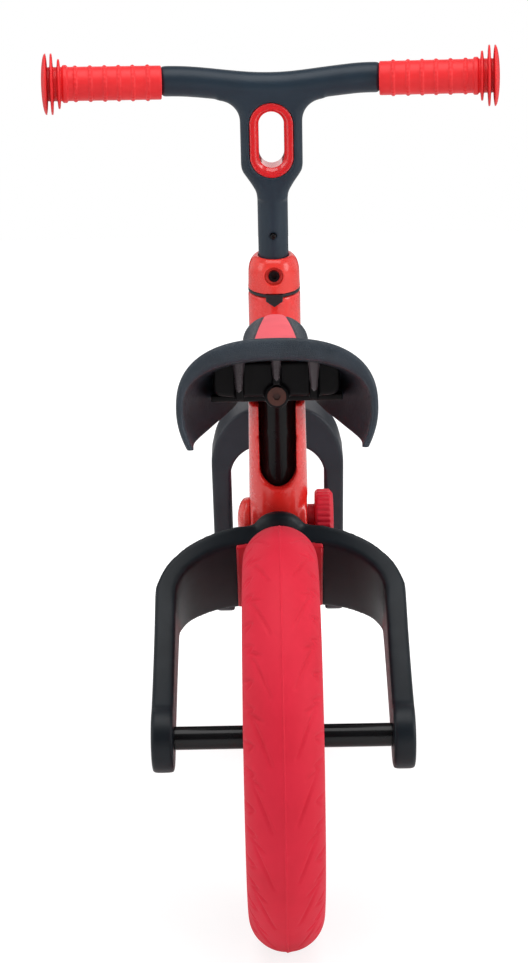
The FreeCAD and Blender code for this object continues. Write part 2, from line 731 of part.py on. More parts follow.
def guard_screws():
    """Two short pan-head screws that hold the liner up in the crown."""
    screws = []
    for level in (-24.0, 12.0):
        head = cone(3.6, 4.2, Vec(0, guard_inside - 2.0, level), Vec(0, guard_inside - fit, level))
        screws.append(on_stay(head))
    return screws


# ---- pivot --------------------------------------------------------------------------------

def pivot_lug():
    """Fork end of the frame: two cheeks beside the rear fork's tongue, joined above it."""
    half = lug_half_width
    body = rod(lug_radius, pivot - across * half, pivot + across * half)
    body = body.cut(tongue_room())
    return body.cut(rod(pivot_bolt_radius + run, pivot - across * 40, pivot + across * 40))


def tongue_room():
    """The room between the cheeks for the tongue, at rest and swung down and forward."""
    gap = tongue_half_width + seat
    keep = tongue_radius + seat
    slot = rod(keep, across * -gap, across * gap)
    back = block(Vec(-gap, -60, -60), Vec(gap, 0, keep))
    below = block(Vec(-gap, -60, -60), Vec(gap, keep, 0))
    return placed(slot.fuse([back, below]), pivot, stay_angle)


def pivot_bolt():
    """Bolt through the lug and the tongue, fixed in the knob and threaded into the cap nut."""
    left = pivot - across * (lug_half_width + 6.0)
    right = pivot + across * (lug_half_width + knob_stand_off + knob_width * 0.5)
    return rod(pivot_bolt_radius, left, right)


def pivot_knob():
    """Hand knob with a ribbed edge, a chamfered rim, and a short neck towards the frame."""
    start = lug_half_width + knob_stand_off
    end = start + knob_width
    profile = [(start, 0), (start, knob_radius - 2.0), (start + 2.0, knob_radius), (end - 3.0, knob_radius)]
    profile = profile + [(end, knob_radius - 3.5), (end, 0)]
    face = polygon([Vec(x, 0, r) for x, r in profile])
    knob = turned(face, across)
    flutes = []
    for number in range(knob_ridges):
        angle = 2 * math.pi * number / knob_ridges
        spot = Vec(0, math.cos(angle), math.sin(angle)) * (knob_radius + 0.7)
        flutes.append(rod(1.5, spot + across * (start - 1), spot + across * (end + 1)))
    knob = knob.cut(flutes)
    neck = rod(11.0, across * (lug_half_width + seat), across * (start + 0.5))
    knob = knob.fuse(neck).removeSplitter()
    knob = knob.cut(rod(pivot_bolt_radius + fit, Vec(0, 0, 0), across * (start + knob_width * 0.5 + fit)))
    knob.translate(pivot)
    return knob


def pivot_cap():
    """Domed cap nut on the other end of the pivot bolt."""
    start = -lug_half_width - seat
    step = start - 2.5
    end = start - cap_height
    row = [(start, 0.0), (start, cap_radius), (step, cap_radius)]
    for number in range(1, 8):
        angle = math.radians(90 * number / 8)
        row.append((step + (end - step) * math.sin(angle), cap_radius * math.cos(angle)))
    row.append((end, 0.0))
    cap = turned(polygon([Vec(x, 0, r) for x, r in row]), across)
    cap = cap.cut(rod(pivot_bolt_radius + run, across * (start + 1), across * (-lug_half_width - 6.5)))
    cap.translate(pivot)
    return cap


# ---- frame --------------------------------------------------------------------------------

def seat_tube_blank():
    """The outside of the seat tube, from the pivot bolt up, before anything is cut from it."""
    cone_top = Vec(0, 0, seat_tube_rise)
    return on_seat_tube(cone(seat_tube_bottom_radius, seat_tube_top_radius, Vec(0, 0, 0), cone_top))


def seat_tube():
    """Tapered tube with a long U-shaped cut in its back that shows the seat post."""
    top = seat_tube_rise + 20.0
    half = seat_post_radius + 0.2
    slot_end = seat_tube_rise - seat_slot_length + half
    bore = rod(seat_post_radius + run, Vec(0, 0, seat_post_bottom - seat), Vec(0, 0, top))
    slot = block(Vec(-half, -40, slot_end), Vec(half, 0, top))
    slot_foot = rod(half, Vec(0, -40, slot_end), Vec(0, 0, slot_end))
    cuts = [bore, slot, slot_foot]
    for side in (-1, 1):
        nick = Vec(side * (half + 0.4), 0, slot_end + 26)
        cuts.append(rod(1.0, nick - Vec(0, 40, 0), nick))
    body = seat_tube_blank()
    for cut in cuts:
        body = body.cut(on_seat_tube(cut))
    ceiling = carrier_bottom - seat
    body = body.cut(block(Vec(-60, pivot.y - 120, ceiling), Vec(60, pivot.y + 60, ceiling + 60)))
    body = body.cut(on_stay(block(Vec(-60, 0, -90), Vec(60, pivot_reach - lug_radius, 60))))
    body = body.cut(tongue_room())
    return body.cut(rod(lug_radius, pivot - across * 60, pivot + across * 60))


def main_beam():
    """Oval backbone from the pivot lug forward and up to the head tube."""
    start = pivot + Vec(0, lug_radius * 0.5, lug_radius * 0.25)
    level = head_bottom + head_tube_length * 0.42
    axis = Vec(0, -math.sin(lean), math.cos(lean))
    end = steer_foot + axis * level
    span = end - start
    sag = Vec(0, span.y * 0.48, span.z * 0.22)
    curve = Part.BSplineCurve()
    curve.interpolate(Points=[start, start + sag, end],
                      InitialTangent=Vec(0, 1, 0.05), FinalTangent=Vec(0, 0.85, 0.62))
    ring = oval(start, Vec(0, 1, 0.05), beam_width / 2, beam_height / 2)
    beam = Part.Wire(curve.toShape()).makePipeShell([ring], True, True)
    beam = beam.cut(rod(head_tube_radius, steer_foot, steer_foot + axis * bar_level))
    beam = beam.cut(rod(lug_radius, pivot - across * 60, pivot + across * 60))
    beam = beam.cut(seat_tube_blank())
    return max(beam.Solids, key=lambda solid: solid.Volume)


def oval(centre, normal, half_width, half_height):
    """An upright oval ring, the start of a sweep."""
    tilt = FreeCAD.Rotation(Vec(0, 1, 0), normal)
    points = []
    for number in range(12):
        angle = 2 * math.pi * number / 12
        spot = Vec(half_width * math.cos(angle), 0, half_height * math.sin(angle))
        points.append(centre + tilt.multVec(spot))
    curve = Part.BSplineCurve()
    curve.interpolate(Points=points, PeriodicFlag=True)
    return Part.Wire(curve.toShape())


# ---- saddle -------------------------------------------------------------------------------

def saddle_shape(place):
    """Half width, top, middle height and skirt's lower edge, at a share of the way from tail to nose."""
    wide = saddle_half_width
    rows = [(0.0, wide, 438.5, 388.0, 359.7), (0.17, wide - 1.0, 431.5, 386.0, 361.0),
            (0.36, wide - 16.0, 425.5, 389.0, 368.0), (0.53, wide - 34.0, 426.5, 394.0, 379.0),
            (0.78, wide - 42.0, 435.5, 405.0, 394.0), (1.0, wide - 45.0, 441.6, 420.0, 411.0)]
    place = max(place, 0.0)
    last = len(rows) - 1
    low = max(number for number in range(last) if rows[number][0] <= place + 1e-9)
    before, start, end, after = rows[max(low - 1, 0)], rows[low], rows[low + 1], rows[min(low + 2, last)]
    span = end[0] - start[0]
    t = (place - start[0]) / span
    values = []
    for column in range(1, 5):
        leave = (end[column] - before[column]) / (end[0] - before[0]) * span
        arrive = (after[column] - start[column]) / (after[0] - start[0]) * span
        bend = (2 * t ** 3 - 3 * t ** 2 + 1) * start[column] + (3 * t ** 2 - 2 * t ** 3) * end[column]
        values.append(bend + (t ** 3 - 2 * t ** 2 + t) * leave + (t ** 3 - t ** 2) * arrive)
    return values


def saddle_section(place, half_width, top, middle, bottom):
    """One cross-section of the saddle: a flattened round top and skirts that turn in at the bottom."""
    y = rear_axle.y + saddle_tail + place * saddle_reach
    power = 2 / 2.5
    right = []
    for step in range(0, 91, 15):
        angle = math.radians(step)
        across_share = math.sin(angle) ** power
        up_share = math.cos(angle) ** power if step < 90 else 0.0
        right.append(Vec(half_width * across_share, y, middle + (top - middle) * up_share))
    turn_in = 0.1 * half_width
    right.append(Vec(half_width - 0.2 * turn_in, y, (middle + bottom) / 2))
    right.append(Vec(half_width - turn_in, y, bottom))
    left = [Vec(-point.x, y, point.z) for point in right[:0:-1]]
    return Part.Wire([spline(left + right), Part.makeLine(right[-1], left[0])])


def saddle_body():
    """The saddle's outside as a solid, from tail to nose."""
    places = [number / saddle_stations for number in range(saddle_stations + 1)]
    return Part.makeLoft([saddle_section(place, *saddle_shape(place)) for place in places], True, True)


def saddle_hollow(wall, roof):
    """What the hood is hollowed by: its outside drawn in by a wall and a roof, open behind and below."""
    rings = []
    for number in range(-1, saddle_stations):
        place = number / saddle_stations
        half_width, top, middle, bottom = saddle_shape(place)
        outline = saddle_section(place, half_width - wall, top - roof, middle, bottom).Edges[0]
        right = outline.valueAt(outline.LastParameter)
        left = outline.valueAt(outline.FirstParameter)
        drop = Vec(0, 0, -30)
        lower = [Part.makeLine(right, right + drop), Part.makeLine(right + drop, left + drop)]
        rings.append(Part.Wire([outline] + lower + [Part.makeLine(left + drop, left)]))
    return Part.makeLoft(rings, True, True)


def saddle_panel(grow):
    """The prism over the saddle's middle that the pad fills, widening towards the tail."""
    tail = rear_axle.y + saddle_tail + saddle_reach * 0.12
    nose = rear_axle.y + saddle_tail + saddle_reach - 8.0
    wide = 18.0 + grow
    slim = 10.0 + grow
    points = [Vec(-wide, tail - grow, 350), Vec(wide, tail - grow, 350)]
    points = points + [Vec(slim, nose + grow, 350), Vec(-slim, nose + grow, 350)]
    return polygon(points).extrude(Vec(0, 0, 150))


def saddle_shell():
    """The drop-sided hood of the saddle, hollow below and open at the tail."""
    outer = saddle_body()
    inner = saddle_hollow(saddle_wall, saddle_top_thickness)
    lowered = outer.copy()
    lowered.translate(Vec(0, 0, -5.0))
    pocket = saddle_panel(seat).cut(lowered)
    return outer.cut(inner).cut(pocket)


def saddle_pad():
    """The soft panel let into the top of the hood."""
    outer = saddle_body()
    lowered = outer.copy()
    lowered.translate(Vec(0, 0, -5.0 + seat))
    return outer.common(saddle_panel(0.0)).cut(lowered)


def saddle_carrier():
    """Moulded tray under the hood, with ribs up to its roof and a block that holds the post."""
    inside = saddle_hollow(saddle_wall + seat, saddle_top_thickness + roof_gap)
    back = rear_axle.y + 62.0
    front = back + 92.0
    low = carrier_bottom
    tray = block(Vec(-carrier_half_width, back, low), Vec(carrier_half_width, front, low + carrier_plate))
    core = block(Vec(-22, back + 2, low), Vec(22, front - 8, 460))
    ribs = []
    for x in (-27.0, 0.0, 27.0):
        foot = Vec(x - rib_width / 2, back - 14.0, low + 2)
        ribs.append(block(foot, Vec(x + rib_width / 2, front - 4, 460)))
    boss = rod(9.0, Vec(0, back - 10.0, low + 5.0), Vec(0, back + 6, low + 5.0))
    body = tray.fuse([core] + ribs).common(inside).fuse(boss).removeSplitter()
    post = rod(seat_post_radius + fit, Vec(0, 0, 0), Vec(0, 0, seat_post_top() + fit))
    body = body.cut(on_seat_tube(post))
    body = body.cut(rod(saddle_bolt_radius + fit, Vec(0, back - 20, low + 5.0), Vec(0, back + 13, low + 5.0)))
    recess = rod(saddle_bolt_head_radius + 1, Vec(0, back - 20, low + 5.0), Vec(0, back - 10, low + 5.0))
    body = body.cut(recess)
    return max(body.Solids, key=lambda solid: solid.Volume)


def seat_post_top():
    """How far up the seat tube's axis the post reaches: just inside the carrier's block."""
    rise = carrier_bottom + 14.0 - pivot.z
    return rise / math.cos(math.radians(seat_tube_lean))


def seat_post():
    """Black post, closed at its foot, that stands on the floor of the seat tube's bore."""
    bottom = seat_post_bottom
    body = rod(seat_post_radius, Vec(0, 0, bottom), Vec(0, 0, seat_post_top()))
    body = body.cut(rod(seat_post_radius - 3.0, Vec(0, 0, bottom + 6), Vec(0, 0, seat_post_top() - 8)))
    return on_seat_tube(body)


def saddle_bolt():
    """Hex-socket bolt that pulls the carrier together on the post, its head at the back."""
    back = rear_axle.y + 62.0 - 10.0
    level = carrier_bottom + 5.0
    head = rod(saddle_bolt_head_radius, Vec(0, back - fit, level), Vec(0, back - 5.0, level))
    shank = rod(saddle_bolt_radius, Vec(0, back - fit, level), Vec(0, back + 22, level))
    bolt = head.fuse(shank).removeSplitter()
    return bolt.cut(hex_socket(Vec(0, back - 5.0, level), Vec(0, 1, 0), 2.5, 3.0))


os.makedirs("parts", exist_ok=True)

save("front_tyre", tyre(front_axle))
save("front_rim", rim(front_axle))
save("front_wheel_bearings", bearings(front_axle))
save("front_axle", axle(front_axle, front_fork_half_width))
save("front_axle_spacers", axle_spacers(front_axle, front_fork_half_width - front_leg_thickness))
save("front_axle_bolts", axle_bolts(front_axle, front_fork_half_width))
save("rear_tyre", tyre(rear_axle))
save("rear_rim", rim(rear_axle))
save("rear_wheel_bearings", bearings(rear_axle))
save("rear_axle", axle(rear_axle, rear_fork_half_width))
save("rear_axle_spacers", axle_spacers(rear_axle, rear_fork_half_width - rear_leg_thickness))
save("rear_axle_bolts", axle_bolts(rear_axle, rear_fork_half_width))
save("front_fork", front_fork())
save("steerer_tube", steerer_tube())
save("head_tube", head_tube())
save("upper_headset_bushing", headset_bushing(head_top - bushing_height))
save("lower_headset_bushing", headset_bushing(head_bottom))
save("headset_ring", headset_ring())
save("handlebar_collar", handlebar_collar())
save("collar_screw", collar_screw())
save("t_bar", t_bar())
save("t_bar_ring", t_bar_ring())
save("stem_tube", stem_tube())
save("stem_button", stem_button())
save("stem_button_spring", stem_button_spring())
save("left_grip", grip(-1))
save("right_grip", grip(1))
save("rear_fork", rear_fork())
save("wheel_guard", wheel_guard())
save("guard_screws", guard_screws())
save("pivot_lug", pivot_lug())
save("pivot_bolt", pivot_bolt())
save("pivot_knob", pivot_knob())
save("pivot_cap", pivot_cap())
save("seat_tube", seat_tube())
save("main_beam", main_beam())
save("saddle_shell", saddle_shell())
save("saddle_pad", saddle_pad())
save("saddle_carrier", saddle_carrier())
save("seat_post", seat_post())
save("saddle_bolt", saddle_bolt())
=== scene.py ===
import json
import math

import bmesh
import bpy
import numpy as np
from mathutils import Matrix, Vector


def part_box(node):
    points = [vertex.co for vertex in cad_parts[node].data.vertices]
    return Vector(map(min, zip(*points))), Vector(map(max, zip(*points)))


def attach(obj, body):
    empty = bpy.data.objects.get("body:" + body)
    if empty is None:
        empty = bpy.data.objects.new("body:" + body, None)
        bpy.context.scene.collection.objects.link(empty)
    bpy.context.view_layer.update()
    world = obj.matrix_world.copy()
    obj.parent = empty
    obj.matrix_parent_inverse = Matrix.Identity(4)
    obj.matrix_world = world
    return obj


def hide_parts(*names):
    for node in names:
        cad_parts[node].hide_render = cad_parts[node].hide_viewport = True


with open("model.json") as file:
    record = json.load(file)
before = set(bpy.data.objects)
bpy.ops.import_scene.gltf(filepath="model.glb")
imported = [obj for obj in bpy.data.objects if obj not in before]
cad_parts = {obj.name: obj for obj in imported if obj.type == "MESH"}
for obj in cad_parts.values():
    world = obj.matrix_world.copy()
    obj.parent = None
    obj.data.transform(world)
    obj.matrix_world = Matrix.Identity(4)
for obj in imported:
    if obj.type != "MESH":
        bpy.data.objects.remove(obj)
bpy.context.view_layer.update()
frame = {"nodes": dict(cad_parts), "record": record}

# ---- studio ----
# The camera stands behind the bike at about the height of its handlebar's stem and looks a little down.
# To the camera the floor and the surroundings are white. Gloss shows bright screens on both sides instead,
# a dim one overhead, and dark ahead and behind. The lamps are large and soft, a little stronger on the right.
eye = Vector((-0.0023, -1.7359, 0.5446))
yaw, pitch, roll = (math.radians(angle) for angle in (-0.311, -8.088, -1.136))
ahead = Vector((math.sin(yaw) * math.cos(pitch), math.cos(yaw) * math.cos(pitch), math.sin(pitch)))
level = ahead.cross(Vector((0, 0, 1))).normalized()
rise = level.cross(ahead)
right = level * math.cos(roll) + rise * math.sin(roll)
lift = rise * math.cos(roll) - level * math.sin(roll)
lens = bpy.data.cameras.new("camera")
lens.lens = 78.5
lens.sensor_width = 36.0
camera = bpy.data.objects.new("camera", lens)
camera.matrix_world = Matrix((right, lift, -ahead)).transposed().to_4x4()
camera.location = eye
bpy.context.scene.collection.objects.link(camera)
bpy.context.scene.camera = camera
bpy.context.scene.view_settings.view_transform = "Standard"


def lamp(name, place, aim, size, power):
    """A soft rectangular lamp that points from its place to an aim."""
    light = bpy.data.lights.new(name, "AREA")
    light.shape = "RECTANGLE"
    light.size, light.size_y = size
    light.energy = power
    lamp_object = bpy.data.objects.new(name, light)
    lamp_object.location = place
    lamp_object.rotation_euler = (Vector(aim) - Vector(place)).to_track_quat("-Z", "Y").to_euler()
    bpy.context.scene.collection.objects.link(lamp_object)


lamp("top_lamp", (0.0, -0.6, 2.2), (0, -0.1, 0.3), (2.0, 1.6), 25)
lamp("right_lamp", (2.0, -1.0, 1.0), (0, 0, 0.35), (0.8, 1.6), 17)
lamp("left_lamp", (-2.0, -0.8, 1.0), (0, 0, 0.35), (0.8, 1.6), 7)
lamp("back_lamp", (0.0, 2.2, 1.6), (0, 0, 0.4), (2.4, 1.2), 9)


class Wire:
    """A node's output, on which Python's own arithmetic adds Math nodes."""

    def __init__(self, tree, socket):
        self.tree = tree
        self.socket = socket

    def math(self, operation, *others):
        node = self.tree.nodes.new("ShaderNodeMath")
        node.operation = operation
        for place, value in zip(node.inputs, (self, *others)):
            feed(self.tree, place, value)
        return Wire(self.tree, node.outputs[0])

    def __add__(self, other):
        return self.math("ADD", other)

    def __mul__(self, other):
        return self.math("MULTIPLY", other)

    def __rsub__(self, other):
        return (self * -1.0) + other

    __radd__ = __add__
    __rmul__ = __mul__

    def fade(self, low, high):
        """0 below low, 1 above high, and a smooth ramp between them."""
        span = self.tree.nodes.new("ShaderNodeMapRange")
        span.interpolation_type = "SMOOTHSTEP"
        feed(self.tree, span.inputs["Value"], self)
        span.inputs["From Min"].default_value = low
        span.inputs["From Max"].default_value = high
        return Wire(self.tree, span.outputs["Result"])


def feed(tree, place, value):
    """Link a wire to a socket, or write a plain value on it."""
    if isinstance(value, Wire):
        tree.links.new(value.socket, place)
    else:
        place.default_value = value


class Finish:
    """One material: a Principled shader, and the nodes asked for by type."""

    def __init__(self, name, **values):
        self.material = bpy.data.materials.new(name)
        self.material.use_nodes = True
        self.tree = self.material.node_tree
        self.shader = self.tree.nodes["Principled BSDF"]
        self.put(**values)
        coordinates = self.tree.nodes.new("ShaderNodeTexCoord")
        self.place = Wire(self.tree, coordinates.outputs["Object"])

    def put(self, **values):
        for name, value in values.items():
            feed(self.tree, self.shader.inputs[name.replace("_", " ")], value)

    def add(self, kind, settings=None, output=0, **values):
        """Any other node: its type, its settings, which output to use, and its sockets' values or links."""
        node = self.tree.nodes.new("ShaderNode" + kind)
        for name, value in (settings or {}).items():
            setattr(node, name, value)
        for name, value in values.items():
            feed(self.tree, node.inputs[name.replace("_", " ")], value)
        return Wire(self.tree, node.outputs[output])

    def noise(self, scale, detail=2.0, rough=0.5):
        return self.add("TexNoise", Vector=self.place, Scale=scale, Detail=detail, Roughness=rough)

    def blend(self, share, first, second):
        """Two colours mixed by a share."""
        node = self.tree.nodes.new("ShaderNodeMix")
        node.data_type = "RGBA"
        feed(self.tree, node.inputs[0], share)
        for place, value in ((node.inputs[6], first), (node.inputs[7], second)):
            feed(self.tree, place, value if isinstance(value, Wire) else (*value, 1.0))
        return Wire(self.tree, node.outputs[2])

    def relief(self, height, strength, distance):
        """Small surface relief from a height."""
        self.put(Normal=self.add("Bump", Height=height, Strength=strength, Distance=distance))


world = bpy.data.worlds.new("surroundings")
bpy.context.scene.world = world
world.use_nodes = True
air = world.node_tree
sky = air.nodes["Background"]
sky.inputs["Color"].default_value = (1.0, 1.0, 1.0, 1.0)
path = air.nodes.new("ShaderNodeLightPath")
through = Wire(air, path.outputs["Is Transmission Ray"])
straight = Wire(air, path.outputs["Is Camera Ray"]).math("MAXIMUM", through)
mirrored = Wire(air, path.outputs["Is Glossy Ray"])
bearing = air.nodes.new("ShaderNodeSeparateXYZ")
compass = air.nodes.new("ShaderNodeTexCoord")
air.links.new(compass.outputs["Generated"], bearing.inputs[0])
sideways = Wire(air, bearing.outputs[0]).math("ABSOLUTE").fade(0.4, 0.85)
upwards = Wire(air, bearing.outputs[2]).fade(0.5, 1.0)
screens = sideways * 0.9 + upwards * 0.2 + 0.05
soft = 0.5
light = straight + (1.0 - straight) * (mirrored * screens + (1.0 - mirrored) * soft)
feed(air, sky.inputs["Strength"], light)

bpy.ops.mesh.primitive_plane_add(size=40.0)
floor = bpy.context.active_object
floor.name = "floor"
ground = Finish("white_floor", Base_Color=(0.9, 0.9, 0.9, 1.0), Roughness=0.9)
ground.shader.inputs["Specular IOR Level"].default_value = 0.0
near_path = ground.tree.nodes.new("ShaderNodeLightPath")
camera_sees = Wire(ground.tree, near_path.outputs["Is Camera Ray"])
distance = ground.add("VectorMath", {"operation": "LENGTH"}, output="Value", Vector=ground.place)
glow = ground.add("Emission", Color=(1.0, 1.0, 1.0, 1.0), Strength=distance.fade(0.25, 0.8) * 0.25 + 0.8)
matt = ground.add("BsdfDiffuse", Color=(0.3, 0.3, 0.3, 1.0))
both = ground.add("AddShader")
ground.tree.links.new(glow.socket, both.socket.node.inputs[0])
ground.tree.links.new(matt.socket, both.socket.node.inputs[1])
choice = ground.add("MixShader", Fac=camera_sees)
ground.tree.links.new(ground.shader.outputs[0], choice.socket.node.inputs[1])
ground.tree.links.new(both.socket, choice.socket.node.inputs[2])
ground.tree.links.new(choice.socket, ground.tree.nodes["Material Output"].inputs["Surface"])
floor.data.materials.append(ground.material)

# ---- frame ----
# The backbone, the seat tube, the head tube and the pivot's two cheeks are joined into one rigid frame.
# It is painted a glossy orange red, thick enough to soften the joints and to show a faint orange peel.


def moulded(name, nodes, grain, passes, added=None):
    """One smooth-edged piece from CAD pieces: copies of their meshes are merged and rebuilt on a lattice as
    fine as the grain, then each point moves half way to the middle of its neighbours, pass after pass."""
    melt = bmesh.new()
    for node in nodes:
        melt.from_mesh(frame["nodes"][node].data)
    if added:
        melt.from_mesh(added.data)
        bpy.data.objects.remove(added)
    bmesh.ops.remove_doubles(melt, verts=melt.verts, dist=0.00001)
    mesh = bpy.data.meshes.new(name)
    melt.to_mesh(mesh)
    melt.free()
    mesh.materials.clear()
    piece = bpy.data.objects.new(name, mesh)
    bpy.context.scene.collection.objects.link(piece)
    lattice = piece.modifiers.new("lattice", "REMESH")
    lattice.mode = "VOXEL"
    lattice.voxel_size = grain
    lattice.use_smooth_shade = True
    even = piece.modifiers.new("even", "SMOOTH")
    even.factor = 0.5
    even.iterations = passes
    done = piece.evaluated_get(bpy.context.evaluated_depsgraph_get())
    piece.data = bpy.data.meshes.new_from_object(done)
    piece.modifiers.clear()
    return piece


def fitted(piece, body, slot, finish, *nodes):
    """The piece rides on its body, takes its finish, and stands for the CAD nodes named."""
    piece.data.materials.clear()
    piece.data.materials.append(finish.material)
    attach(piece, body)
    if nodes:
        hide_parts(*nodes)
    return piece


def dressed(finish, *nodes):
    """CAD pieces whose shape stays take a finish."""
    for node in nodes:
        part = frame["nodes"][node]
        part.data.materials.clear()
        part.data.materials.append(finish.material)


def plastic(name, colour, deep, rough, grain=1400.0, height=0.00012, coat=0.0, shine=0.35):
    """Moulded plastic or paint: two close colours in soft clouds, uneven gloss and a fine grain."""
    finish = Finish(name)
    finish.shader.inputs["Specular IOR Level"].default_value = shine
    cloud = finish.noise(38.0, 3.0).fade(0.3, 0.7)
    fine = finish.noise(grain, 2.0, 0.6)
    finish.put(Base_Color=finish.blend(cloud, colour, deep))
    finish.put(Roughness=(fine * 0.16) + (cloud * 0.05) + (rough - 0.1))
    finish.relief(fine + finish.noise(grain * 0.12) * 0.5, 0.35, height)
    finish.put(Coat_Weight=coat, Coat_Roughness=0.12)
    return finish


red_paint = plastic("red_frame_paint", (0.90, 0.028, 0.022), (0.85, 0.022, 0.019), 0.26, 260.0,
                    0.00003, 0.7)
welded_frame = moulded("welded_frame", ("head_tube", "main_beam", "seat_tube", "pivot_lug"), 0.0014, 16)
fitted(welded_frame, "frame", "frame_paint", red_paint, "head_tube", "main_beam", "seat_tube", "pivot_lug")

# ---- wheels ----
# Each tyre is one ring of solid foam, moulded in two halves: a fine seam runs round its middle, with slanting
# grooves and small zigzag cuts beside it. It is stretched over a stiff moulded rim with six arms.


def skin(name, points, closed=True, lids=True):
    """A closed surface over a grid of points: every row is a ring. The rows join round to the first, or,
    where the grid is open, its end rings are shut by fans from their middles, or are pinched shut already."""
    rows, count = points.shape[:2]
    spots = points.reshape(-1, 3)
    row = np.arange(rows if closed else rows - 1)[:, None]
    column = np.arange(count)[None, :]
    after = (column + 1) % count
    below = (row + 1) % rows
    corners = [row * count + column, row * count + after, below * count + after, below * count + column]
    quads = np.stack([np.broadcast_to(c, (len(row), count)) for c in corners], axis=-1).reshape(-1, 4)
    first, second, third, fourth = (spots[quads[:, corner]] for corner in range(4))
    volume = (first * np.cross(second, third) + first * np.cross(third, fourth)).sum()
    faces = quads.tolist()
    if not closed and lids:
        ring = np.arange(count)
        spots = np.vstack([spots, points[0].mean(axis=0), points[-1].mean(axis=0)])
        start = np.stack([np.roll(ring, -1), ring, np.full(count, rows * count)], axis=-1)
        last = (rows - 1) * count
        end = np.stack([ring + last, np.roll(ring, -1) + last, np.full(count, rows * count + 1)], axis=-1)
        faces = faces + start.tolist() + end.tolist()
    if volume < 0:
        faces = [face[::-1] for face in faces]
    mesh = bpy.data.meshes.new(name)
    mesh.from_pydata(spots.tolist(), [], faces)
    if not closed and not lids:
        pinched = bmesh.new()
        pinched.from_mesh(mesh)
        bmesh.ops.remove_doubles(pinched, verts=pinched.verts, dist=0.000002)
        pinched.to_mesh(mesh)
        pinched.free()
    mesh.polygons.foreach_set("use_smooth", np.ones(len(mesh.polygons), dtype=bool))
    piece = bpy.data.objects.new(name, mesh)
    bpy.context.scene.collection.objects.link(piece)
    return piece


def groove(along, across, marks, width):
    """How near each point lies to a row of straight cuts, from 1 on a cut's middle to 0 beside it: the
    nearest distance to a segment, through a bell curve."""
    depth = np.zeros_like(along)
    for (start_along, start_across), (end_along, end_across) in marks:
        run = np.array([end_along - start_along, end_across - start_across])
        share = ((along - start_along) * run[0] + (across - start_across) * run[1]) / (run @ run)
        share = np.clip(share, 0.0, 1.0)
        gap = np.hypot(along - start_along - share * run[0], across - start_across - share * run[1])
        fade = 0.45 + 0.55 * np.sin(np.pi * np.clip(share, 0.04, 0.96))
        depth = np.maximum(depth, np.exp(-(gap / width) ** 2) * fade)
    return depth


def tyre(name, node):
    """The tread is a ring about the axle: a point at angle turn and section angle lean stands at
    across = half width x sin(lean) and radius = middle + depth x cos(lean), less the cuts, plus the seam."""
    low, high = (np.array(corner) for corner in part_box(node))
    centre = (low + high) / 2
    trim, slimming = 0.0012, 0.972
    cut_depth, cut_width = 0.0013, 0.0009
    seam_height, seam_width, blister_width = 0.00045, 0.0005, 0.0016
    radius = (high[2] - low[2]) / 2 - trim
    half = (high[0] - low[0]) / 2 * slimming
    depth = 0.0262
    middle = radius - depth
    units = 21
    bead = math.radians(123)
    ease = np.linspace(-1, 1, 108)
    lean = bead * (0.72 * ease + 0.28 * ease ** 3)
    lean = np.sort(np.concatenate([lean, [-0.03, -0.018, -0.008, 0.0, 0.008, 0.018, 0.03]]))
    turn = np.linspace(0, 2 * math.pi, 820, endpoint=False)
    turn, lean = np.meshgrid(turn, lean, indexing="ij")
    across = half * np.sin(lean)
    around = turn * radius
    pitch = 2 * math.pi * radius / units
    cut = np.zeros_like(across)
    for side, lag in ((-1, 0.0), (1, 0.12)):
        place = (around / pitch + lag) % 1.0
        outward = side * across / half
        zigzag = [(0.86, 0.93), (0.95, 0.72), (1.02, 0.84), (1.16, 0.52)]
        marks = [((0.12, 0.76), (0.82, 0.30)), ((0.44, 0.95), (0.52, 0.74)), ((0.52, 0.74), (0.60, 0.86))]
        marks = marks + list(zip(zigzag, zigzag[1:]))
        marks = marks + [((a - 1, b), (c - 1, d)) for (a, b), (c, d) in zip(zigzag, zigzag[1:])]
        marks = [((a * pitch, b * half), (c * pitch, d * half)) for (a, b), (c, d) in marks]
        upper = (np.abs(lean) < math.radians(95)) & (outward > 0)
        cut = cut + groove(place * pitch, outward * half, marks, cut_width) * upper
    seam = seam_height * np.exp(-(across / seam_width) ** 2)
    along = (around + 0.012) % (pitch * 3) - 0.02
    blister = seam_height * np.exp(-(np.hypot(across - 0.0008, along) / blister_width) ** 2)
    out = depth - cut_depth * cut + seam + blister
    ring = middle + out * np.cos(lean)
    side = (half + (out - depth)) * np.sin(lean)
    back, up = -ring * np.sin(turn), ring * np.cos(turn)
    return skin(name, np.stack([centre[0] + side, centre[1] + back, centre[2] + up], axis=-1))


foam = Finish("red_tyre_foam", Roughness=0.62)
foam.shader.inputs["Specular IOR Level"].default_value = 0.25
pores = foam.noise(2600.0, 3.0, 0.7)
mottle = foam.noise(24.0, 4.0, 0.6).fade(0.3, 0.75)
foam.put(Base_Color=foam.blend(mottle, (0.72, 0.016, 0.044), (0.66, 0.013, 0.036)))
foam.put(Roughness=(pores * 0.25) + 0.5)
foam.relief(pores + foam.noise(700.0) * 0.6, 0.5, 0.00012)

wheel_black = plastic("dark_wheel_plastic", (0.020, 0.024, 0.030), (0.014, 0.017, 0.021), 0.42)
steel = Finish("zinc_plated_steel", Metallic=1.0)
streak = steel.add("TexNoise", Vector=steel.place, Scale=900.0, Detail=4.0, Distortion=1.5)
steel.put(Base_Color=steel.blend(streak.fade(0.3, 0.7), (0.50, 0.50, 0.51), (0.38, 0.38, 0.40)))
steel.put(Roughness=(streak * 0.2) + 0.22)
steel.relief(streak, 0.25, 0.00005)
axle_black = plastic("black_axle_lacquer", (0.006, 0.006, 0.007), (0.008, 0.008, 0.009), 0.16, 500.0,
                     0.00002, 0.0, 0.3)

